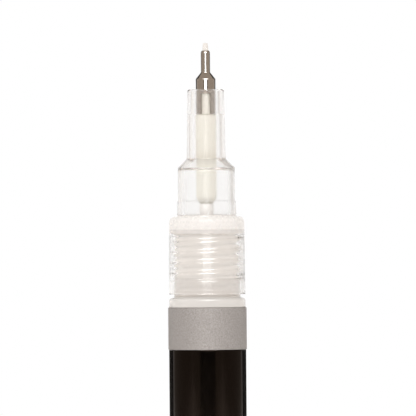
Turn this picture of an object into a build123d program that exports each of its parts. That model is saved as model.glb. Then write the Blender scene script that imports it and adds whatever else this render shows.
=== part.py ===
# Paint marker with a needle tip, a clear screw-on nose and a spring valve.
# It stands on its tail: the origin is the centre of the tail's flat end, +Z runs up the axis to the
# nib, and every size is in millimetres.
from build123d import *
import math
import os

# Barrel and the silver band round its mouth
barrel_diameter = 11.0
design_diameter = 11.0  # barrel diameter that the sizes of the valve are given for
barrel_wall = 0.8
barrel_length = 99.6
barrel_edge_radius = 0.2
band_height = 6.0
band_wall = 0.25
band_proud = 0.1
band_edge_radius = 0.06

# Tail plug, with a dish that centres the ball
tail_flange_height = 2.6
tail_flange_setback = 0.05
tail_edge_chamfer = 0.5
tail_plug_length = 6.0
tail_dish_angle = 25.0
tail_dish_rim = 0.8
tail_recess_diameter = 5.0
tail_recess_depth = 0.4

# Mixing ball
ball_diameter = 5.0
ball_gap = 0.1
ball_headroom = 0.5

# Threaded neck with its flange, the plug pressed into the barrel and the valve seat
flange_height = 1.4
flange_setback = 0.025
flange_edge_radius = 0.4
neck_setback = 0.725
neck_height = 9.5
neck_edge_radius = 0.3
plug_length = 10.0
plug_clearance = 0.15
plug_wall = 0.8
plug_lead_in = 0.35
seal_bead_count = 3
seal_bead_height = 0.8
seat_depth = 6.0
seat_plate = 1.2
seat_flow_gap = 0.5
chamber_wall = 1.5

# Spider that guides the stem, in a ledge at the top of the neck
guide_thickness = 1.5
guide_ledge = 0.4
guide_rim_wall = 0.55
guide_hub_wall = 0.6
guide_spoke_width = 0.8
guide_spoke_count = 3

# Washer between the neck and the nose
gasket_thickness = 0.8
gasket_clearance = 0.1

# Clear nose: skirt, shoulder, cap land and nozzle
seam_gap = 0.5
skirt_wall = 0.625
skirt_draft = 0.55
skirt_rim_radius = 0.15
thread_clearance = 0.1
ceiling_thickness = 1.3
shoulder_radius = 0.8
stop_length = 2.2
stop_step = 0.12
stop_draft = 1.0
stop_flat = 0.02
land_setback = 1.4
land_length = 4.75
land_wall = 0.9
nozzle_slope = 45.0
nozzle_length = 9.9
nozzle_wall = 0.95
nozzle_draft = 1.15
nozzle_edge_radius = 0.28

# Needle ferrule, with two slots that part its skirt into legs
ferrule_diameter = 2.8
ferrule_wall = 0.25
ferrule_depth = 3.5
ferrule_exposed = 1.5
ferrule_cone_height = 0.95
ferrule_slot_width = 1.2
ferrule_slot_length = 2.9
needle_wall = 0.18
needle_length = 3.1
needle_rim_flat = 0.03

# Nib and the fibre core that carries it, with a spigot between the legs of the ferrule
nib_diameter = 0.86
nib_end_diameter = 0.7
nib_exposed = 1.1
nib_end_fillet = 0.2
nib_seat_depth = 4.0
nib_travel = 1.0
core_diameter = 2.9
core_clearance = 0.2
core_chamfer = 0.15
core_stop_gap = 0.05
spigot_clearance = 0.08
spigot_headroom = 0.3

# Valve stem, its head, washer and spring, and the cage that holds them
stem_diameter = 2.0
stem_reach = 3.9
stem_cup_gap = 0.1
head_thickness = 1.0
head_clearance = 0.5
washer_thickness = 0.8
tail_rod_diameter = 1.6
spring_wire = 0.35
spring_turns = 6
spring_length = 7.5
spring_guide_gap = 0.25
spring_end_gap = 0.05
cage_wall = 0.7
cage_floor = 2.2
cage_edge_radius = 0.35
cage_window_count = 4
cage_window_width = 2.4
cage_window_margin = 0.5

# Fits between pieces, and how near two sizes count as one
press_clearance = 0.02
running_clearance = 0.04
same_size = 0.0001

# The valve grows and shrinks with the barrel that holds it
valve_scale = barrel_diameter / design_diameter

# Radii that follow
barrel_radius = barrel_diameter / 2
bore_radius = barrel_radius - barrel_wall
band_radius = barrel_radius + band_proud
band_bore_radius = band_radius - band_wall
plug_radius = bore_radius - plug_clearance
bead_radius = bore_radius - press_clearance
socket_radius = plug_radius - plug_wall * valve_scale
chamber_radius = plug_radius - chamber_wall * valve_scale
guide_seat_radius = chamber_radius + guide_ledge
flange_radius = barrel_radius - flange_setback
neck_radius = flange_radius - neck_setback
skirt_bore_radius = neck_radius + thread_clearance
skirt_rim_outer = skirt_bore_radius + skirt_wall
core_radius = core_diameter / 2
core_bore_radius = core_radius + core_clearance
ferrule_radius = ferrule_diameter / 2
ferrule_socket_radius = ferrule_radius + press_clearance
ferrule_bore_radius = ferrule_radius - ferrule_wall
spigot_radius = ferrule_bore_radius - spigot_clearance
nib_radius = nib_diameter / 2
needle_bore_radius = nib_radius + running_clearance
needle_radius = needle_bore_radius + needle_wall
land_radius = skirt_rim_outer - land_setback
land_bore_radius = land_radius - land_wall
nozzle_top_radius = core_bore_radius + nozzle_wall
nozzle_base_radius = nozzle_top_radius + nozzle_length * math.tan(math.radians(nozzle_draft))
stem_radius = stem_diameter / 2 * valve_scale
orifice_radius = stem_radius + seat_flow_gap * valve_scale
cage_radius = socket_radius - press_clearance
cage_bore_radius = cage_radius - cage_wall * valve_scale
head_radius = cage_bore_radius - head_clearance * valve_scale
tail_rod_radius = tail_rod_diameter / 2 * valve_scale
spring_radius = tail_rod_radius + spring_guide_gap + spring_wire / 2
ball_radius = ball_diameter / 2

# Heights up the axis, stacked from the tail
barrel_bottom = tail_flange_height
mouth = barrel_bottom + barrel_length
band_bottom = mouth - band_height
flange_top = mouth + flange_height
neck_top = flange_top + neck_height
ceiling = neck_top + gasket_thickness
skirt_rim = flange_top + seam_gap
shoulder = ceiling + ceiling_thickness
stop_top = shoulder + stop_length
land_top = stop_top + land_length
nozzle_base = land_top + (land_radius - nozzle_base_radius) * math.tan(math.radians(nozzle_slope))
nozzle_top = nozzle_base + nozzle_length
ferrule_bottom = nozzle_top - ferrule_depth
ferrule_cone_bottom = nozzle_top + ferrule_exposed
needle_bottom = ferrule_cone_bottom + ferrule_cone_height
needle_top = needle_bottom + needle_length
nib_tip = needle_top + nib_exposed
core_top = ferrule_bottom - core_stop_gap
spigot_top = ferrule_cone_bottom - ferrule_wall - spigot_headroom
nib_bottom = core_top - nib_seat_depth
stem_top = neck_top + stem_reach
plug_bottom = mouth - plug_length
seat = mouth - seat_depth
head_top = seat - washer_thickness
head_bottom = head_top - head_thickness
cage_floor_top = head_bottom - spring_length
cage_bottom = cage_floor_top - cage_floor
tail_plug_top = barrel_bottom + tail_plug_length

# The core's round end sits in a cup in the end of the stem, a small gap away
cup_radius = core_radius + stem_cup_gap
core_end_centre = stem_top + math.sqrt(cup_radius**2 - stem_radius**2)

# The ball lies in the tail plug's dish, a small gap away
dish_radius = plug_radius - tail_dish_rim
dish_slope = math.radians(tail_dish_angle)
dish_bottom = tail_plug_top - dish_radius * math.tan(dish_slope)
ball_centre = dish_bottom + (ball_radius + ball_gap) / math.cos(dish_slope)
ball_travel = cage_bottom - ball_headroom - (ball_centre + ball_radius)


def turned(*corners):
    """Solid of revolution about Z from the (radius, height) corners of its half section."""
    section = make_face(Polyline(*[(radius, 0, height) for radius, height in corners], close=True))
    return revolve(section, Axis.Z)


def rims(body, radius, height):
    """The circular edges of the body that have this radius and lie at this height."""
    circles = body.edges().filter_by(GeomType.CIRCLE)
    return [e for e in circles if math.hypot(e.radius - radius, e.arc_center.Z - height) < same_size]


def bored(outer, inner, low, high):
    """Plain ring between two radii and two heights."""
    return turned((inner, low), (outer, low), (outer, high), (inner, high))


def seal_beads(low, high):
    """Corners, from low to high, of the rings on a plug that seal against the bore of the barrel."""
    corners = []
    for index in range(seal_bead_count):
        middle = low + (high - low) * (index + 0.5) / seal_bead_count
        corners += [
            (plug_radius, middle - seal_bead_height / 2),
            (bead_radius, middle),
            (plug_radius, middle + seal_bead_height / 2),
        ]
    return corners


def make_barrel():
    band_seat_radius = band_bore_radius - press_clearance
    tube = turned(
        (bore_radius, barrel_bottom),
        (barrel_radius, barrel_bottom),
        (barrel_radius, band_bottom),
        (band_seat_radius, band_bottom),
        (band_seat_radius, mouth),
        (bore_radius, mouth),
    )
    return fillet(rims(tube, barrel_radius, barrel_bottom), barrel_edge_radius)


def make_mouth_band():
    band = bored(band_radius, band_bore_radius, band_bottom, mouth)
    edges = rims(band, band_radius, mouth) + rims(band, band_radius, band_bottom)
    return fillet(edges, band_edge_radius)


def make_tail_plug():
    flange_outer = barrel_radius - tail_flange_setback
    recess_radius = tail_recess_diameter / 2
    plug = turned(
        (0, tail_recess_depth),
        (recess_radius, tail_recess_depth),
        (recess_radius, 0),
        (flange_outer, 0),
        (flange_outer, barrel_bottom),
        (plug_radius, barrel_bottom),
        *seal_beads(barrel_bottom, tail_plug_top),
        (plug_radius, tail_plug_top),
        (dish_radius, tail_plug_top),
        (0, dish_bottom),
    )
    plug = chamfer(rims(plug, flange_outer, 0), tail_edge_chamfer)
    return chamfer(rims(plug, plug_radius, tail_plug_top), plug_lead_in)


def make_mixing_ball():
    return Pos(0, 0, ball_centre) * Sphere(ball_radius)


def make_valve_neck():
    guide_floor = neck_top - guide_thickness
    neck = turned(
        (guide_seat_radius, neck_top),
        (guide_seat_radius, guide_floor),
        (chamber_radius, guide_floor),
        (chamber_radius, seat + seat_plate),
        (orifice_radius, seat + seat_plate),
        (orifice_radius, seat),
        (socket_radius, seat),
        (socket_radius, plug_bottom),
        (plug_radius, plug_bottom),
        *seal_beads(plug_bottom, mouth),
        (plug_radius, mouth),
        (flange_radius, mouth),
        (flange_radius, flange_top),
        (neck_radius, flange_top),
        (neck_radius, neck_top),
    )
    neck = fillet(rims(neck, flange_radius, flange_top), flange_edge_radius)
    neck = fillet(rims(neck, neck_radius, neck_top), neck_edge_radius)
    return chamfer(rims(neck, plug_radius, plug_bottom), plug_lead_in)


def make_stem_guide():
    low = neck_top - guide_thickness
    rim_radius = guide_seat_radius - press_clearance
    hub_bore = stem_radius + running_clearance
    rim = bored(rim_radius, rim_radius - guide_rim_wall, low, neck_top)
    hub = bored(hub_bore + guide_hub_wall, hub_bore, low, neck_top)
    spoke_start = hub_bore + guide_hub_wall / 2
    spoke_length = rim_radius - guide_rim_wall / 2 - spoke_start
    spoke = Pos(spoke_start + spoke_length / 2, 0, (low + neck_top) / 2) * Box(
        spoke_length, guide_spoke_width, guide_thickness
    )
    spokes = [Rot(0, 0, 360 * index / guide_spoke_count) * spoke for index in range(guide_spoke_count)]
    return rim.fuse(hub, *spokes)


def make_nose_gasket():
    return bored(skirt_bore_radius - gasket_clearance, chamber_radius, neck_top, ceiling)


def make_nose_cone():
    stop_radius = land_radius + stop_step
    stop_base_radius = stop_radius + stop_length * math.tan(math.radians(stop_draft))
    skirt_lean = math.tan(math.radians(skirt_draft))
    shoulder_outer = skirt_rim_outer - (shoulder - skirt_rim) * skirt_lean
    wall_shift = land_wall / math.cos(math.radians(nozzle_slope))
    slope = math.tan(math.radians(nozzle_slope))
    inner_cone_top = nozzle_base + (nozzle_base_radius - core_bore_radius) * slope - wall_shift * slope
    inner_cone_bottom = inner_cone_top - (land_bore_radius - core_bore_radius) * slope
    nose = turned(
        (skirt_bore_radius, skirt_rim),
        (skirt_rim_outer, skirt_rim),
        (shoulder_outer, shoulder),
        (stop_base_radius, shoulder),
        (stop_radius, stop_top),
        (land_radius, stop_top),
        (land_radius, land_top),
        (nozzle_base_radius, nozzle_base),
        (nozzle_top_radius, nozzle_top),
        (ferrule_socket_radius, nozzle_top),
        (ferrule_socket_radius, ferrule_bottom),
        (core_bore_radius, ferrule_bottom),
        (core_bore_radius, inner_cone_top),
        (land_bore_radius, inner_cone_bottom),
        (land_bore_radius, ceiling),
        (skirt_bore_radius, ceiling),
    )
    nose = fillet(rims(nose, shoulder_outer, shoulder), shoulder_radius)
    nose = fillet(rims(nose, nozzle_top_radius, nozzle_top), nozzle_edge_radius)
    nose = fillet(rims(nose, skirt_rim_outer, skirt_rim), skirt_rim_radius)
    return chamfer(rims(nose, stop_radius, stop_top), stop_step - stop_flat)


def make_tip_ferrule():
    ferrule = turned(
        (ferrule_bore_radius, ferrule_bottom),
        (ferrule_radius, ferrule_bottom),
        (ferrule_radius, ferrule_cone_bottom),
        (needle_radius, needle_bottom),
        (needle_radius, needle_top),
        (needle_bore_radius, needle_top),
        (needle_bore_radius, needle_bottom - ferrule_wall),
        (ferrule_bore_radius, ferrule_cone_bottom - ferrule_wall),
    )
    ferrule = fillet(rims(ferrule, needle_radius, needle_top), needle_wall - needle_rim_flat)
    slot = Box(ferrule_slot_width, 2 * ferrule_diameter, 2 * ferrule_slot_length)
    return ferrule - Pos(0, 0, ferrule_bottom) * slot


def make_nib():
    end_radius = nib_end_diameter / 2
    nib = turned(
        (0, nib_bottom),
        (nib_radius, nib_bottom),
        (nib_radius, needle_top),
        (end_radius, nib_tip),
        (0, nib_tip),
    )
    return fillet(rims(nib, end_radius, nib_tip), nib_end_fillet)


def make_feed_core():
    rod = bored(core_radius, 0, core_end_centre, core_top)
    rod = chamfer(rims(rod, core_radius, core_top), core_chamfer)
    round_end = Pos(0, 0, core_end_centre) * Sphere(core_radius)
    spigot = bored(spigot_radius, 0, nib_bottom, spigot_top)
    return rod.fuse(round_end, spigot) - bored(nib_radius + press_clearance, 0, nib_bottom, spigot_top)


def make_valve_stem():
    rod_end = cage_bottom + nib_travel
    stem = turned(
        (0, rod_end),
        (tail_rod_radius, rod_end),
        (tail_rod_radius, head_bottom),
        (head_radius, head_bottom),
        (head_radius, head_top),
        (stem_radius, head_top),
        (stem_radius, stem_top),
        (0, stem_top),
    )
    return stem - Pos(0, 0, core_end_centre) * Sphere(cup_radius)


def make_valve_washer():
    return bored(head_radius, stem_radius + press_clearance, head_top, seat)


def make_spring_cage():
    rod_hole = tail_rod_radius + running_clearance
    cage = turned(
        (rod_hole, cage_bottom),
        (cage_radius, cage_bottom),
        (cage_radius, seat),
        (cage_bore_radius, seat),
        (cage_bore_radius, cage_floor_top),
        (rod_hole, cage_floor_top),
    )
    cage = fillet(rims(cage, cage_radius, cage_bottom), cage_edge_radius)
    window_low = cage_floor_top + cage_window_margin
    window_high = plug_bottom - cage_window_margin
    window = Pos(cage_radius, 0, (window_low + window_high) / 2) * Box(
        cage_radius, cage_window_width, window_high - window_low
    )
    windows = [Rot(0, 0, 360 * index / cage_window_count) * window for index in range(cage_window_count)]
    return cage.cut(*windows)


def helix_point(turn, low, pitch):
    """Point and direction of the spring's centre line after this many turns."""
    angle = 2 * math.pi * turn
    point = Vector(spring_radius * math.cos(angle), spring_radius * math.sin(angle), low + pitch * turn)
    climb = pitch / (2 * math.pi * spring_radius)
    return point, Vector(-math.sin(angle), math.cos(angle), climb).normalized()


def biarc(start, start_way, end, end_way):
    """Two arcs from start to end that share a direction where they meet."""
    chord = end - start
    ways = start_way + end_way
    square = 2 * (1 - start_way.dot(end_way))
    along = chord.dot(ways)
    reach = (math.sqrt(along**2 + square * chord.dot(chord)) - along) / square
    middle = (start + end + (start_way - end_way) * reach) * 0.5
    middle_way = (end - start - ways * reach).normalized()
    return [Edge.make_tangent_arc(start, start_way, middle), Edge.make_tangent_arc(middle, middle_way, end)]


def least_gap(points, neighbours, wire):
    """Smallest clear distance between points of the centre line that are not near neighbours."""
    gaps = [
        (points[later] - points[first]).length - wire
        for first in range(len(points))
        for later in range(first + neighbours, len(points))
    ]
    return min(gaps)


def make_valve_spring():
    low = cage_floor_top + spring_wire / 2 + spring_end_gap
    high = head_bottom - spring_wire / 2 - spring_end_gap
    pitch = (high - low) / spring_turns
    arcs = []
    for half in range(2 * spring_turns):
        arcs += biarc(*helix_point(half / 2, low, pitch), *helix_point((half + 1) / 2, low, pitch))
    start, way = helix_point(0, low, pitch)
    wire_section = Plane(origin=start, z_dir=way) * Circle(spring_wire / 2)
    samples_per_turn = 16
    count = samples_per_turn * spring_turns + 1
    points = [helix_point(index / samples_per_turn, low, pitch)[0] for index in range(count)]
    gap = least_gap(points, samples_per_turn // 2, spring_wire)
    print("valve spring: least gap to itself", round(gap, 3))
    return sweep(wire_section, path=Wire(arcs))


nodes = {
    "barrel": make_barrel,
    "mouth_band": make_mouth_band,
    "tail_plug": make_tail_plug,
    "mixing_ball": make_mixing_ball,
    "valve_neck": make_valve_neck,
    "stem_guide": make_stem_guide,
    "nose_gasket": make_nose_gasket,
    "nose_cone": make_nose_cone,
    "tip_ferrule": make_tip_ferrule,
    "nib": make_nib,
    "feed_core": make_feed_core,
    "valve_stem": make_valve_stem,
    "valve_washer": make_valve_washer,
    "valve_spring": make_valve_spring,
    "spring_cage": make_spring_cage,
}

os.makedirs("parts", exist_ok=True)
for name, make in nodes.items():
    export_step(make(), f"parts/{name}.step")
print("overall length", round(nib_tip, 3))
print("ball travel", round(ball_travel, 3))
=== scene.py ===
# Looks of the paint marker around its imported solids, in metres in the same frame.
import math

import bpy
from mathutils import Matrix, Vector


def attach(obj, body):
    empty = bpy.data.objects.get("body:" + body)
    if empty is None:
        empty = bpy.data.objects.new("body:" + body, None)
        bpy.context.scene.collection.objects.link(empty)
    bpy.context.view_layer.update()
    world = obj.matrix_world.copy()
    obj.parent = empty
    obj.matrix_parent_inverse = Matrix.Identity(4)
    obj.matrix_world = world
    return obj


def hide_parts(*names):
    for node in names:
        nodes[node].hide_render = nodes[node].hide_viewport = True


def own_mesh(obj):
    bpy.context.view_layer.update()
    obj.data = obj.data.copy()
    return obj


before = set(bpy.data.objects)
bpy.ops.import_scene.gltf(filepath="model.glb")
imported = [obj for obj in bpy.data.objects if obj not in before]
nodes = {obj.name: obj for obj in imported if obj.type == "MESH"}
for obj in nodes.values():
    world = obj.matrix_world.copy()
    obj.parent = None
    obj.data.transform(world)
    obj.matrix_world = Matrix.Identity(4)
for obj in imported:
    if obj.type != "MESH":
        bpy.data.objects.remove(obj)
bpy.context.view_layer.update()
scene = bpy.context.scene

MM = 0.001

# Fineness of the turned meshes, with lengths in millimetres
SIDES = 160
ARC_STEPS = 6
CORE_END_STEPS = 12
LONG_RUN = 0.3
EDGE_ROW = 0.04
SAME_POINT = 0.001
SHARP_ANGLE = math.radians(32)

# Heights in millimetres, as in the solids
barrel_bottom = 2.6
plug_bottom = 92.2
band_bottom = 96.2
seat = 96.2
seat_plate_top = 97.4
mouth = 102.2
flange_top = 103.6
skirt_rim = 104.1
guide_floor = 111.6
neck_top = 113.1
ceiling = 113.9
shoulder = 115.2
stop_top = 117.4
core_end_centre = 118.184
inner_cone_bottom = 121.777
land_top = 122.15
inner_cone_top = 123.302
nozzle_base = 123.426
nib_bottom = 125.776
core_top = 129.776
ferrule_bottom = 129.826
slot_top = 132.726
nozzle_top = 133.326
spigot_top = 134.276
ferrule_cone_bottom = 134.826
needle_bottom = 135.776
needle_top = 138.876
nib_tip = 139.976

# Radii in millimetres, as in the solids, and the width of the ferrule's slots
barrel_radius = 5.5
bore_radius = 4.7
band_radius = 5.6
band_bore_radius = 5.35
flange_radius = 5.475
neck_radius = 4.75
plug_radius = 4.55
socket_radius = 3.75
chamber_radius = 3.05
guide_seat_radius = 3.45
orifice_radius = 1.5
skirt_bore_radius = 4.85
skirt_rim_radius = 5.475
shoulder_radius = 5.368
stop_base_radius = 4.233
stop_radius = 4.195
land_radius = 4.075
land_bore_radius = 3.175
nozzle_base_radius = 2.799
nozzle_top_radius = 2.6
core_bore_radius = 1.65
core_radius = 1.45
ferrule_socket_radius = 1.42
ferrule_radius = 1.4
ferrule_bore_radius = 1.15
ferrule_slot_width = 1.2
spigot_radius = 1.07
core_socket_radius = 0.45
needle_radius = 0.65
needle_bore_radius = 0.47
nib_radius = 0.43
nib_end_radius = 0.35

# Small gaps, steps and roundings in millimetres
hair = 0.02
flange_gap = 0.01
gasket_gap = 0.03
neck_rim_round = 0.3
bore_cone_drop = 0.25
needle_end_length = 0.24
needle_lip = 0.05
core_chamfer = 0.15

# Screw thread between the neck and the skirt, in millimetres, with its start in turns
thread_pitch = 1.5
thread_turn = -0.438
thread_row = 0.06
thread_fade = 0.6
neck_thread_depth = 0.1
neck_thread_low = 104.6
nose_thread_depth = 0.18
nose_thread_low = 105.9
nose_thread_high = 112.9

# Heights in millimetres where the finish of the clear plastic changes; below neck_foot the neck is darker
# with painted shade
haze_top = 115.35
shoulder_fade_top = 113.35
shoulder_foot = 112.75
neck_foot = 106.4
flange_edge = 103.75

# Part of its range that a noise texture mostly stays in
NOISE_SPAN = (0.3, 0.7)


def rounded(corners):
    """Outline points (radius, height, thread depth 0) of a closed loop of (radius, height, fillet) corners.

    A long straight run gets a point near each end, so that its shading stays flat, but not the closing
    run."""
    points = []
    for index, (radius, height, fillet) in enumerate(corners):
        here = Vector((radius, height))
        if fillet == 0:
            points.append((radius, height, 0))
            continue
        back = (Vector(corners[index - 1][:2]) - here).normalized()
        ahead = (Vector(corners[(index + 1) % len(corners)][:2]) - here).normalized()
        half = back.angle(ahead) / 2
        centre = here + (back + ahead).normalized() * fillet / math.sin(half)
        start = here + back * fillet / math.tan(half) - centre
        end = here + ahead * fillet / math.tan(half) - centre
        for step in range(ARC_STEPS + 1):
            point = centre + start.slerp(end, step / ARC_STEPS).normalized() * fillet
            points.append((point.x, point.y, 0))
    earlier = points[-1:] + points[:-1]
    points = [here for here, before in zip(points, earlier) if math.dist(here, before) > SAME_POINT]
    rows = []
    for here, ahead in zip(points, points[1:]):
        rows.append(here)
        run = math.dist(here, ahead)
        if run > LONG_RUN:
            for share in (EDGE_ROW / run, 1 - EDGE_ROW / run):
                rows.append(tuple(a + (b - a) * share for a, b in zip(here, ahead)))
    return rows + points[-1:]


def thread_rows(radius, thread_depth, low, high, fade_low, fade_high):
    """Close rows of outline points from low to high, with the thread fading in and out at its ends."""
    count = round((high - low) / thread_row)
    rows = []
    for index in range(count + 1):
        height = low + (high - low) * index / count
        share = 1.0
        if fade_low:
            share = min(share, (height - low) / thread_fade)
        if fade_high:
            share = min(share, (high - height) / thread_fade)
        rows.append((radius, height, thread_depth * max(share, 0)))
    return rows


def groove(height, angle):
    """How deep the thread's groove is, 0 to 1, at a height and an angle about the axis."""
    turns = height / thread_pitch - angle / (2 * math.pi) - thread_turn
    return 0.5 - 0.5 * math.cos(2 * math.pi * turns)


def skirt_radius(height):
    """Radius of the tapered outside of the skirt at a height."""
    share = (shoulder - height) / (shoulder - skirt_rim)
    return shoulder_radius + (skirt_rim_radius - shoulder_radius) * share


def add_turn(points, faces, outline, start=0.0, end=2 * math.pi):
    """Add the outline turned about Z from one angle to another, with end faces unless it goes all round."""
    following_points = outline[1:] + outline[:1]
    if sum(a[0] * b[1] - b[0] * a[1] for a, b in zip(outline, following_points)) < 0:
        outline = outline[::-1]
    whole = math.isclose(end - start, 2 * math.pi)
    steps = round(SIDES * (end - start) / (2 * math.pi))
    count = steps if whole else steps + 1
    rings = []
    for radius, height, depth in outline:
        first = len(points)
        if radius == 0:
            points.append((0, 0, height * MM))
            rings.append([first] * count)
            continue
        for side in range(count):
            angle = start + (end - start) * side / steps
            reach = radius - depth * groove(height, angle) if depth else radius
            points.append((reach * MM * math.cos(angle), reach * MM * math.sin(angle), height * MM))
        rings.append(list(range(first, first + count)))
    for ring, following in zip(rings, rings[1:] + rings[:1]):
        for side in range(steps):
            after = (side + 1) % count
            corners = dict.fromkeys((ring[side], ring[after], following[after], following[side]))
            if len(corners) > 2:
                faces.append(tuple(corners))
    if not whole:
        faces.append(tuple(ring[0] for ring in rings))
        faces.append(tuple(ring[-1] for ring in reversed(rings)))


def turned(name, outline, body, node, material, parts=(), zones=()):
    """Piece turned about Z from a closed outline; it rides on the body and stands for the CAD node.

    parts are further outlines of the piece, each with the angles that it is turned between, and zones
    are heights, highest first, each with the material that the piece has below it."""
    points = []
    faces = []
    add_turn(points, faces, outline)
    for part in parts:
        add_turn(points, faces, *part)
    mesh = bpy.data.meshes.new(name)
    mesh.from_pydata(points, [], faces)
    mesh.polygons.foreach_set("use_smooth", [True] * len(mesh.polygons))
    mesh.set_sharp_from_angle(angle=SHARP_ANGLE)
    mesh.validate()
    mesh.materials.append(material)
    for index, (top, zone_material) in enumerate(zones, 1):
        mesh.materials.append(zone_material)
        for face in mesh.polygons:
            if face.center.z < top * MM:
                face.material_index = index
    piece = bpy.data.objects.new(name, mesh)
    scene.collection.objects.link(piece)
    piece.modifiers.new("even_normals", "WEIGHTED_NORMAL").keep_sharp = True
    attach(piece, body)
    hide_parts(node)


def add_node(tree, kind, **values):
    """New shader node of a kind, with values on its sockets."""
    made = tree.nodes.new("ShaderNode" + kind)
    for socket, value in values.items():
        made.inputs[socket.replace("_", " ")].default_value = value
    return made


def add_ramp(tree, source, *stops):
    """Colour from a ramp of (position, colour) stops that a socket drives."""
    made = add_node(tree, "ValToRGB")
    elements = made.color_ramp.elements
    elements.remove(elements[1])
    elements[0].position = stops[0][0]
    elements[0].color = (*stops[0][1], 1)
    for position, colour in stops[1:]:
        elements.new(position).color = (*colour, 1)
    tree.links.new(source, made.inputs["Fac"])
    return made.outputs["Color"]


def add_math(tree, operation, first, second):
    """Result of an operation on two sockets, or on a socket and a number."""
    made = add_node(tree, "Math")
    made.operation = operation
    for index, value in enumerate((first, second)):
        if isinstance(value, float):
            made.inputs[index].default_value = value
        else:
            tree.links.new(value, made.inputs[index])
    return made.outputs[0]


class Surface:
    """A material whose Principled shader takes values on its own sockets and grain from noise nodes."""

    def __init__(self, name, **values):
        self.material = bpy.data.materials.new(name)
        self.material.use_nodes = True
        self.tree = self.material.node_tree
        self.shader = self.tree.nodes["Principled BSDF"]
        self.output = self.tree.nodes["Material Output"]
        self.place = add_node(self.tree, "TexCoord").outputs["Object"]
        for socket, value in values.items():
            self.shader.inputs[socket.replace("_", " ")].default_value = value

    def link(self, source, target):
        self.tree.links.new(source, target)

    def noise(self, size, stretch=(1, 1, 1), detail=3.0):
        """Noise with features of about this size in millimetres, stretched along the axes."""
        mapping = add_node(self.tree, "Mapping")
        mapping.inputs["Scale"].default_value = [1 / (size * MM * part) for part in stretch]
        self.link(self.place, mapping.inputs["Vector"])
        texture = add_node(self.tree, "TexNoise", Scale=1.0, Detail=detail)
        self.link(mapping.outputs["Vector"], texture.inputs["Vector"])
        return texture.outputs["Fac"]

    def colours(self, source, low, high, span=NOISE_SPAN):
        """Base colour that the noise takes from one colour to another over a span of its range."""
        ramp = add_ramp(self.tree, source, (span[0], low), (span[1], high))
        self.link(ramp, self.shader.inputs["Base Color"])

    def rough(self, source, low, high):
        """Roughness that the noise spreads between two values."""
        spread = add_node(
            self.tree, "MapRange",
            From_Min=NOISE_SPAN[0], From_Max=NOISE_SPAN[1], To_Min=low, To_Max=high,
        )
        self.link(source, spread.inputs["Value"])
        self.link(spread.outputs["Result"], self.shader.inputs["Roughness"])

    def bump(self, source, height):
        """Bump of about this height in millimetres."""
        made = add_node(self.tree, "Bump", Strength=1.0, Distance=height * MM)
        self.link(source, made.inputs["Height"])
        self.link(made.outputs["Normal"], self.shader.inputs["Normal"])


def clear_surface(name, tint, haze, rough, gloss=0.5):
    """Clear moulded plastic with some haze in a tint, and a faint warm body colour in its depth."""
    made = Surface(name, IOR=1.49, Transmission_Weight=1 - haze, Specular_IOR_Level=gloss)
    made.colours(made.noise(2.5), tint, [part * 0.985 for part in tint])
    made.rough(made.noise(0.6), *rough)
    body = add_node(made.tree, "VolumeAbsorption", Color=(0.93, 0.86, 0.79, 1), Density=30.0)
    made.link(body.outputs[0], made.output.inputs["Volume"])
    return made.material


def black_surface():
    """Deep black glossy plastic with a faint waviness along the barrel."""
    made = Surface("black_gloss", IOR=1.38, Specular_Tint=(1.0, 0.74, 0.6, 1))
    made.colours(made.noise(0.8), (0.0008, 0.0006, 0.0005), (0.0014, 0.0011, 0.0009))
    made.rough(made.noise(1.2, (1, 1, 3)), 0.04, 0.06)
    made.bump(made.noise(3.0, (1, 1, 4)), 0.001)
    return made.material


def band_surface():
    """Satin silver with a fine sparkle."""
    made = Surface("band_satin", Metallic=0.25)
    grain = made.noise(0.12, detail=5.0)
    made.colours(grain, (0.26, 0.238, 0.226), (0.42, 0.39, 0.372), (0.35, 0.65))
    made.rough(grain, 0.6, 0.7)
    made.bump(grain, 0.004)
    return made.material


def ferrule_surface(name, dark, light, rough):
    """Turned steel with fine lines round the axis."""
    made = Surface(name, Metallic=1.0)
    lines = made.noise(1.0, (1, 1, 0.03), detail=4.0)
    made.colours(lines, dark, light)
    made.rough(lines, *rough)
    made.bump(lines, 0.0002)
    return made.material


def pale_surface(name, dark, light, size, rough, height, stretch=(1, 1, 1)):
    """Opaque pale plastic, seal or fibre with a grain of its own size and height."""
    made = Surface(name)
    grain = made.noise(size, stretch)
    made.colours(grain, dark, light)
    made.rough(grain, *rough)
    made.bump(grain, height)
    return made.material


def steel_surface(name, dark, light, rough):
    """Plain steel with a faint grain."""
    made = Surface(name, Metallic=1.0)
    grain = made.noise(0.3, (1, 1, 0.2))
    made.colours(grain, dark, light)
    made.rough(grain, *rough)
    return made.material


# Clear plastic, in the finishes that its zones have
# The nozzle's copy of the milky plastic has a slightly darker, warmer tint: painted shade in its walls
nozzle_milky_painted_shade = clear_surface("nozzle_milky_painted_shade", (0.994, 0.986, 0.978), haze=0.015, rough=(0.13, 0.17))
nose_milky = clear_surface("nose_milky", (0.999, 0.996, 0.992), haze=0.015, rough=(0.13, 0.17))
shoulder_haze = clear_surface(
    "shoulder_haze", (0.925, 0.9, 0.875), haze=0.84, rough=(0.24, 0.3), gloss=0.2,
)
shoulder_fade = clear_surface(
    "shoulder_fade", (0.985, 0.965, 0.945), haze=0.55, rough=(0.16, 0.22), gloss=0.2,
)
nose_clear = clear_surface("nose_clear", (0.999, 0.996, 0.992), haze=0.015, rough=(0.05, 0.07))
neck_clear = clear_surface("neck_clear", (0.995, 0.95, 0.905), haze=0.72, rough=(0.06, 0.1), gloss=0.1)
# Darker copy of the neck's plastic for its lower part: painted shade
neck_painted_shade = clear_surface("neck_painted_shade", (0.87, 0.825, 0.785), haze=0.7, rough=(0.06, 0.1), gloss=0.1)
flange_clear = clear_surface("flange_clear", (0.975, 0.94, 0.905), haze=0.65, rough=(0.06, 0.1))

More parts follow.
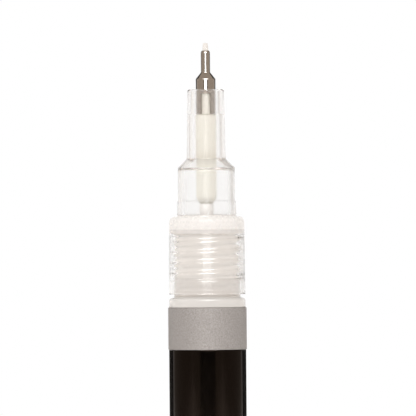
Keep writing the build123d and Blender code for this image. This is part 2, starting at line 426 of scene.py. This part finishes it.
# Opaque plastics, metals and fibres
black_gloss = black_surface()
band_satin = band_surface()
ferrule_bright = ferrule_surface("ferrule_bright", (0.86, 0.81, 0.755), (0.94, 0.89, 0.84), (0.06, 0.11))
# Rougher, much darker copy of the ferrule's steel for the part in the nose; its dark colour is painted
# shade
ferrule_rough_painted_shade = ferrule_surface("ferrule_rough_painted_shade", (0.32, 0.275, 0.235), (0.4, 0.35, 0.305), (0.2, 0.3))
white_moulded = pale_surface(
    "white_moulded", (0.93, 0.915, 0.895), (0.96, 0.95, 0.935), size=0.7, rough=(0.35, 0.5), height=0.003,
)
soft_pale = pale_surface(
    "soft_pale", (0.91, 0.88, 0.85), (0.94, 0.92, 0.89), size=0.5, rough=(0.5, 0.65), height=0.004,
)
nib_fibre = pale_surface(
    "nib_fibre", (0.73, 0.69, 0.65), (0.8, 0.765, 0.73),
    size=0.08, rough=(0.6, 0.8), height=0.01, stretch=(1, 1, 4),
)
core_fibre = pale_surface(
    "core_fibre", (0.765, 0.74, 0.665), (0.835, 0.815, 0.75),
    size=0.1, rough=(0.75, 0.9), height=0.015, stretch=(1, 1, 12),
)
spring_wire = steel_surface("spring_wire", (0.5, 0.49, 0.47), (0.62, 0.61, 0.59), (0.2, 0.35))
ball_polished = steel_surface("ball_polished", (0.6, 0.6, 0.6), (0.68, 0.68, 0.68), (0.06, 0.12))

# Black barrel, turned down to take the band, and its silver band
turned("barrel_tube", rounded([
    (bore_radius, barrel_bottom, 0),
    (barrel_radius, barrel_bottom, 0.2),
    (barrel_radius, band_bottom - hair, 0.08),
    (band_bore_radius - hair, band_bottom - hair, 0),
    (band_bore_radius - hair, mouth - hair, 0),
    (bore_radius, mouth - hair, 0),
]), "barrel_unit", "barrel", black_gloss)

turned("band_ring", rounded([
    (band_bore_radius, band_bottom, 0),
    (band_radius, band_bottom, 0.06),
    (band_radius, mouth, 0.08),
    (band_bore_radius, mouth, 0),
]), "barrel_unit", "mouth_band", band_satin)

# Clear neck with its flange and outer thread
neck_outline = rounded([
    (neck_radius, neck_top, neck_rim_round),
    (guide_seat_radius, neck_top, 0),
    (guide_seat_radius, guide_floor, 0),
    (chamber_radius, guide_floor, 0),
    (chamber_radius, seat_plate_top, 0.2),
    (orifice_radius, seat_plate_top, 0.1),
    (orifice_radius, seat, 0),
    (socket_radius, seat, 0),
    (socket_radius, plug_bottom, 0),
    (plug_radius, plug_bottom, 0.3),
    (plug_radius, mouth + flange_gap, 0),
    (flange_radius, mouth + flange_gap, 0.1),
    (flange_radius, flange_top, 0.45),
    (neck_radius, flange_top, 0.12),
    (neck_radius, neck_thread_low - EDGE_ROW, 0),
])
neck_thread_high = neck_top - neck_rim_round - hair
neck_outline += thread_rows(neck_radius, neck_thread_depth, neck_thread_low, neck_thread_high, True, False)
# Below neck_foot the neck has painted shade, and below flange_edge the flange's own finish
neck_zones = [(neck_foot, neck_painted_shade), (flange_edge, flange_clear)]
turned(
    "neck_shell", neck_outline, "barrel_unit", "valve_neck", neck_clear, zones=neck_zones,
)

# Soft washer, a hair clear of the faces that it lies between
turned("gasket_washer", rounded([
    (chamber_radius, neck_top + hair, 0.1),
    (neck_radius, neck_top + hair, 0.1),
    (neck_radius, ceiling - gasket_gap, 0.1),
    (chamber_radius, ceiling - gasket_gap, 0.1),
]), "gasket_ring", "nose_gasket", soft_pale)

# Clear nose with its inner thread
nose_outline = rounded([
    (skirt_bore_radius, ceiling, 0.1),
    (land_bore_radius, ceiling, 0.1),
    (land_bore_radius, inner_cone_bottom, 0.3),
    (core_bore_radius, inner_cone_top, 0.3),
    (core_bore_radius, ferrule_bottom, 0),
    (ferrule_socket_radius, ferrule_bottom, 0),
    (ferrule_socket_radius, nozzle_top, 0.05),
    (nozzle_top_radius, nozzle_top, 0.28),
    (nozzle_base_radius, nozzle_base, 0.25),
    (land_radius, land_top, 0.15),
    (land_radius, stop_top, 0.04),
    (stop_radius, stop_top, 0.04),
    (stop_base_radius, shoulder, 0.12),
    (shoulder_radius, shoulder, 0.8),
    (skirt_radius(shoulder_fade_top), shoulder_fade_top, 0),
    (skirt_radius(shoulder_foot), shoulder_foot, 0),
    (skirt_rim_radius, skirt_rim, 0.15),
    (skirt_bore_radius, skirt_rim, 0.08),
    (skirt_bore_radius, nose_thread_low - EDGE_ROW, 0),
])
nose_outline += thread_rows(
    skirt_bore_radius, nose_thread_depth, nose_thread_low, nose_thread_high, True, True,
)
nose_zones = [
    (nozzle_base, nose_milky),
    (haze_top, shoulder_haze),
    (shoulder_fade_top, shoulder_fade),
    (shoulder_foot, nose_clear),
]
turned(
    "nose_shell", nose_outline, "nose_unit", "nose_cone", nozzle_milky_painted_shade, zones=nose_zones,
)

# Needle ferrule on its two legs, rougher where it sits in the nose and darker there with painted shade
ferrule_outline = rounded([
    (ferrule_bore_radius, slot_top, 0),
    (ferrule_radius, slot_top, 0),
    (ferrule_radius, nozzle_top, 0),
    (ferrule_radius, ferrule_cone_bottom, 0.12),
    (needle_radius, needle_bottom, 0.1),
    (needle_radius, needle_top - needle_end_length, 0.25),
    (needle_bore_radius + needle_lip, needle_top, 0.05),
    (needle_bore_radius, needle_top, 0),
    (needle_bore_radius, needle_bottom - bore_cone_drop, 0),
    (ferrule_bore_radius, ferrule_cone_bottom - bore_cone_drop, 0),
])
leg_outline = rounded([
    (ferrule_bore_radius, ferrule_bottom, 0.03),
    (ferrule_radius, ferrule_bottom, 0.06),
    (ferrule_radius, slot_top, 0),
    (ferrule_bore_radius, slot_top, 0),
])
half_slot = math.asin(ferrule_slot_width / 2 / ferrule_radius)
half_leg = math.pi / 2 - half_slot
ferrule_legs = [(leg_outline, middle - half_leg, middle + half_leg) for middle in (0.0, math.pi)]
turned(
    "ferrule_turned", ferrule_outline, "nose_unit", "tip_ferrule", ferrule_bright,
    parts=ferrule_legs, zones=[(nozzle_top, ferrule_rough_painted_shade)],
)

# Nib, and the fibre core with its round lower end
turned("nib_rod", rounded([
    (0, nib_bottom, 0),
    (nib_radius, nib_bottom, 0),
    (nib_radius, needle_top, 0),
    (nib_end_radius, nib_tip, 0.2),
    (0, nib_tip, 0),
]), "nib_unit", "nib", nib_fibre)

core_outline = []
for step in range(CORE_END_STEPS + 1):
    turn = math.pi / 2 * step / CORE_END_STEPS
    radius = core_radius * math.sin(turn)
    height = core_end_centre - core_radius * math.cos(turn)
    core_outline.append((radius, height, 0))
core_outline += [
    (core_radius, core_top - core_chamfer, 0),
    (core_radius - core_chamfer, core_top, 0),
    (spigot_radius, core_top, 0),
    (spigot_radius, spigot_top, 0),
    (core_socket_radius, spigot_top, 0),
    (core_socket_radius, nib_bottom, 0),
    (0, nib_bottom, 0),
]
turned("core_rod", core_outline, "nib_unit", "feed_core", core_fibre)

# Solids whose shape is right keep it and take a finish
finishes = {
    "tail_plug": black_gloss,
    "mixing_ball": ball_polished,
    "stem_guide": white_moulded,
    "valve_stem": white_moulded,
    "valve_washer": soft_pale,
    "spring_cage": white_moulded,
}
for node, material in finishes.items():
    nodes[node].data.materials.clear()
    nodes[node].data.materials.append(material)

# Copy of the spring's solid, with a mesh of its own, on the barrel unit
spring = bpy.data.objects.new("coil_spring", nodes["valve_spring"].data.copy())
spring.data.materials.clear()
spring.data.materials.append(spring_wire)
scene.collection.objects.link(spring)
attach(spring, "barrel_unit")
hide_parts("valve_spring")
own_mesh(spring)

# View and light paths, long enough for the nested clear pieces
light_bounces = 24
scene.view_settings.view_transform = "Standard"
scene.cycles.max_bounces = light_bounces
scene.cycles.transmission_bounces = light_bounces
scene.cycles.glossy_bounces = light_bounces
scene.cycles.blur_glossy = 0.0


def stage_sheet(name, corners, material):
    """Flat sheet of the stage through four corners."""
    mesh = bpy.data.meshes.new(name)
    mesh.from_pydata(corners, [], [(0, 1, 2, 3)])
    mesh.materials.append(material)
    sheet = bpy.data.objects.new(name, mesh)
    scene.collection.objects.link(sheet)
    return sheet


# Plain pale floor that the marker stands on; it is white through clear plastic and nearly so to the camera
floor_reach = 3.0
floor_glow_to_camera = 0.65
floor_finish = Surface("floor_pale")
floor_finish.colours(floor_finish.noise(40.0), (0.86, 0.855, 0.85), (0.88, 0.875, 0.87))
floor_finish.rough(floor_finish.noise(20.0), 0.6, 0.7)
floor_tree = floor_finish.tree
floor_rays = add_node(floor_tree, "LightPath").outputs
glow_to_camera = add_math(floor_tree, "MULTIPLY", floor_rays["Is Camera Ray"], floor_glow_to_camera)
glow_share = add_math(floor_tree, "ADD", glow_to_camera, floor_rays["Is Transmission Ray"])
glow = add_node(floor_tree, "Emission", Color=(1, 1, 1, 1), Strength=1.0)
floor_mix = add_node(floor_tree, "MixShader")
floor_finish.link(glow_share, floor_mix.inputs[0])
floor_finish.link(floor_finish.shader.outputs[0], floor_mix.inputs[1])
floor_finish.link(glow.outputs[0], floor_mix.inputs[2])
floor_finish.link(floor_mix.outputs[0], floor_finish.output.inputs["Surface"])
stage_sheet("floor", [
    (-floor_reach, -floor_reach, 0), (floor_reach, -floor_reach, 0),
    (floor_reach, floor_reach, 0), (-floor_reach, floor_reach, 0),
], floor_finish.material)

# World: white where it is seen, with darker sides for what the gloss reflects
world = bpy.data.worlds.new("studio")
scene.world = world
world.use_nodes = True
sky = world.node_tree
sky.nodes.clear()
rays = add_node(sky, "LightPath").outputs
direction = add_node(sky, "SeparateXYZ")
sky.links.new(add_node(sky, "TexCoord").outputs["Generated"], direction.inputs[0])


def along(axis):
    """How far a ray's direction points along an axis, from 0 against it to 1 with it."""
    made = add_node(sky, "MapRange", From_Min=-1.0, From_Max=1.0)
    sky.links.new(direction.outputs[axis], made.inputs["Value"])
    return made.outputs["Result"]


sideways = along("X")
behind = along("Y")
upwards = along("Z")

black = (0.0, 0.0, 0.0)
dark = (0.03, 0.025, 0.02)
dim = (0.28, 0.235, 0.195)
white = (1.0, 1.0, 1.0)
left_shade = (1.0, 0.97, 0.94)
right_shade = (0.7, 0.66, 0.62)
left_light = (1.2, 1.18, 1.16)
right_light = (0.96, 0.935, 0.91)
clear_glint = 16.0
open_glint = 10.0

ambient = add_ramp(sky, sideways, (0.0, left_light), (1.0, right_light))
around = add_ramp(sky, behind, (0.0, dark), (0.03, dark), (0.05, dim), (0.72, dim), (0.88, white))
calm = add_ramp(
    sky, sideways,
    (0.12, white), (0.2, left_shade), (0.44, left_shade), (0.48, white),
    (0.52, white), (0.56, right_shade), (0.8, right_shade), (0.88, white),
)

# Bright window high in front, which only shows in reflections that no diffuse surface has scattered
window_height = add_ramp(sky, upwards, (0.6, black), (0.62, white), (0.83, white), (0.85, black))
window_width = add_ramp(sky, sideways, (0.22, black), (0.42, white), (0.58, white), (0.78, black))
window_front = add_ramp(sky, behind, (0.45, white), (0.5, black))
window = add_math(sky, "MULTIPLY", add_math(sky, "MULTIPLY", window_height, window_width), window_front)
unscattered = add_math(sky, "LESS_THAN", rays["Diffuse Depth"], 0.5)
window_share = add_math(sky, "MULTIPLY", window, unscattered)


def with_window(colour, strength):
    """Surroundings with the bright window in them."""
    made = add_node(sky, "MixRGB", Color2=(strength, strength, strength, 1.0))
    sky.links.new(window_share, made.inputs["Fac"])
    sky.links.new(colour, made.inputs["Color1"])
    return made.outputs["Color"]


# Rays that light a surface see the ambient colours. A ray that only passed through clear plastic sees white
# surroundings, one that was reflected there sees calm ones, one that was reflected in the open sees those
# with the dark sides, and the camera sees white
not_diffuse = add_math(sky, "SUBTRACT", 1.0, rays["Is Diffuse Ray"])
mirrored = add_math(sky, "GREATER_THAN", rays["Glossy Depth"], 0.5)
reflected = add_math(sky, "MULTIPLY", not_diffuse, mirrored)
in_open = add_math(sky, "LESS_THAN", rays["Transmission Depth"], 0.5)
layers = (
    (add_math(sky, "MULTIPLY", rays["Is Transmission Ray"], unscattered), None),
    (reflected, with_window(calm, clear_glint)),
    (add_math(sky, "MULTIPLY", reflected, in_open), with_window(around, open_glint)),
    (rays["Is Camera Ray"], None),
)
lighting = add_node(sky, "Background", Strength=1.0)
sky.links.new(ambient, lighting.inputs["Color"])
shown = lighting.outputs[0]
for amount, colour in layers:
    background = add_node(sky, "Background", Color=(1, 1, 1, 1), Strength=1.0)
    if colour:
        sky.links.new(colour, background.inputs["Color"])
    mix = add_node(sky, "MixShader")
    sky.links.new(amount, mix.inputs[0])
    sky.links.new(shown, mix.inputs[1])
    sky.links.new(background.outputs[0], mix.inputs[2])
    shown = mix.outputs[0]
sky.links.new(shown, add_node(sky, "OutputWorld").inputs["Surface"])


def softbox(name, place, aim, width, height, power):
    """Rectangular lamp at a place, turned to face a point; it doesn't show to the camera."""
    data = bpy.data.lights.new(name, "AREA")
    data.shape = "RECTANGLE"
    data.size = width
    data.size_y = height
    data.energy = power
    lamp = bpy.data.objects.new(name, data)
    lamp.location = place
    lamp.rotation_euler = (Vector(aim) - Vector(place)).to_track_quat("-Z", "Y").to_euler()
    lamp.visible_camera = False
    scene.collection.objects.link(lamp)


softbox("front_softbox", place=(0, -1.35, 0.155), aim=(0, 0, 0.155), width=0.6, height=0.07, power=0.42)
softbox("upper_softbox", place=(0, -1.2, 0.87), aim=(0, 0, 0.115), width=1.0, height=0.62, power=3.0)

# Near and far edge of the right-hand cards, across and back from the axis, for a card that is 1 away
card_near = (0.075, 1.0)
card_far = (2.5, 1.75)


def dark_card(name, side, away, low, high):
    """Dark card beside and behind the marker that only shows in the gloss of the pieces at its height."""
    near, far = [(across * side * away, back * away) for across, back in (card_near, card_far)]
    finish = Surface(name)
    finish.colours(finish.noise(30.0), (0.006, 0.005, 0.004), (0.01, 0.009, 0.008))
    card = stage_sheet(name, [(*near, low), (*far, low), (*far, high), (*near, high)], finish.material)
    card.visible_camera = False
    card.visible_diffuse = False
    card.visible_transmission = False
    card.visible_shadow = False


for side, word in ((-1, "left"), (1, "right")):
    dark_card("barrel_card_" + word, side, away=0.05, low=-0.05, high=0.1016)
    dark_card("ferrule_card_" + word, side, away=0.024, low=0.1335, high=0.19)

# Camera at the photograph's level, far away with a long lens, leaning by the photograph's small tilt
camera_distance = 1.2
camera_side = 0.203 * MM
camera_height = 116.4 * MM
camera_tilt = math.radians(0.447)
frame_width = 59.43 * MM
sensor_width = 36.0
camera_data = bpy.data.cameras.new("camera")
camera_data.sensor_width = sensor_width
camera_data.lens = sensor_width * camera_distance / frame_width
camera_data.clip_start = 0.01
camera = bpy.data.objects.new("camera", camera_data)
camera.location = (camera_side, -camera_distance, camera_height)
camera.rotation_euler = (math.pi / 2, camera_tilt, 0)
scene.collection.objects.link(camera)
scene.camera = camera
